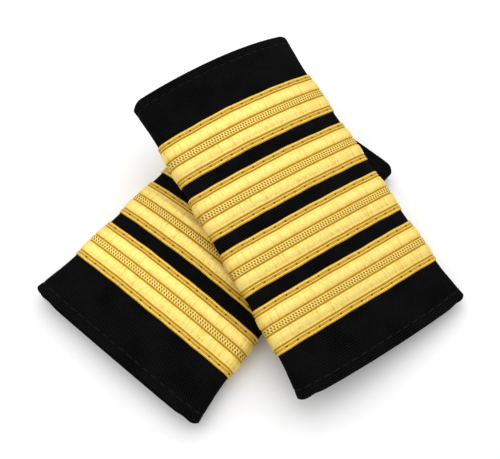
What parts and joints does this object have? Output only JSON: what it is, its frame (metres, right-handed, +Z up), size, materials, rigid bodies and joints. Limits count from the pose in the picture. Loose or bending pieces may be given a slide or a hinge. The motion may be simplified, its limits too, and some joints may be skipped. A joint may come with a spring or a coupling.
{
  "type": "pair of shoulder slides",
  "caption": "Crossed pair of flat black fabric sleeves for a shirt's shoulder straps, each ringed by gold lace rank bars.",
  "frame": {"origin": "on the table, under the middle of the box around the crossed pair", "axes": "+Z up, +Y along the lower slide from its wide mouth to its narrow mouth, +X across the lower slide towards the wide mouth of the upper slide"},
  "size_m": [0.0972, 0.0966, 0.0284],
  "materials": {
    "black_fabric": "matt black worsted with fine crosswise ribs",
    "gold_lace": "woven metallic gold lace with satin bands",
    "gold_thread": "gold sewing thread",
    "black_thread": "black sewing thread",
    "stiffener": "thin dull black stiffening sheet"
  },
  "bodies": {
    "lower_back": {"lower_back_flap_left": "black_fabric", "lower_back_flap_right": "black_fabric", "lower_back_seam_thread": "black_thread", "lower_gold_bar_1_back_left": "gold_lace", "lower_gold_bar_1_back_right": "gold_lace", "lower_gold_bar_2_back_left": "gold_lace", "lower_gold_bar_2_back_right": "gold_lace", "lower_gold_bar_3_back_left": "gold_lace", "lower_gold_bar_3_back_right": "gold_lace", "lower_gold_bar_4_back_left": "gold_lace", "lower_gold_bar_4_back_right": "gold_lace"},
    "lower_front": {"lower_front_panel": "black_fabric", "lower_stiffener_board": "stiffener", "lower_near_hem_thread": "black_thread", "lower_far_hem_thread": "black_thread", "lower_gold_bar_1": "gold_lace", "lower_gold_bar_1_stitches_near": "gold_thread", "lower_gold_bar_1_stitches_far": "gold_thread", "lower_gold_bar_2": "gold_lace", "lower_gold_bar_2_stitches_near": "gold_thread", "lower_gold_bar_2_stitches_far": "gold_thread", "lower_gold_bar_3": "gold_lace", "lower_gold_bar_3_stitches_near": "gold_thread", "lower_gold_bar_3_stitches_far": "gold_thread", "lower_gold_bar_4": "gold_lace", "lower_gold_bar_4_stitches_near": "gold_thread", "lower_gold_bar_4_stitches_far": "gold_thread"},
    "upper_back": {"upper_back_flap_left": "black_fabric", "upper_back_flap_right": "black_fabric", "upper_back_seam_thread": "black_thread", "upper_gold_bar_1_back_left": "gold_lace", "upper_gold_bar_1_back_right": "gold_lace", "upper_gold_bar_2_back_left": "gold_lace", "upper_gold_bar_2_back_right": "gold_lace", "upper_gold_bar_3_back_left": "gold_lace", "upper_gold_bar_3_back_right": "gold_lace", "upper_gold_bar_4_back_left": "gold_lace", "upper_gold_bar_4_back_right": "gold_lace"},
    "upper_front": {"upper_front_panel": "black_fabric", "upper_stiffener_board": "stiffener", "upper_near_hem_thread": "black_thread", "upper_far_hem_thread": "black_thread", "upper_gold_bar_1": "gold_lace", "upper_gold_bar_1_stitches_near": "gold_thread", "upper_gold_bar_1_stitches_far": "gold_thread", "upper_gold_bar_2": "gold_lace", "upper_gold_bar_2_stitches_near": "gold_thread", "upper_gold_bar_2_stitches_far": "gold_thread", "upper_gold_bar_3": "gold_lace", "upper_gold_bar_3_stitches_near": "gold_thread", "upper_gold_bar_3_stitches_far": "gold_thread", "upper_gold_bar_4": "gold_lace", "upper_gold_bar_4_stitches_near": "gold_thread", "upper_gold_bar_4_stitches_far": "gold_thread"}
  },
  "joints": [
    {"name": "lower_tunnel_open", "type": "slide", "parent": "lower_back", "child": "lower_front", "axis": [0, 0, 1], "range_m": [0, 0.006], "stiffness_N_per_m": 40},
    {"name": "upper_lift_off", "type": "slide", "parent": "lower_front", "child": "upper_back", "axis": [0, 0, 1], "range_m": [0, 0.08]},
    {"name": "upper_tunnel_open", "type": "slide", "parent": "upper_back", "child": "upper_front", "axis": [0.2107, 0.0402, 0.9767], "range_m": [0, 0.006], "stiffness_N_per_m": 40}
  ]
}
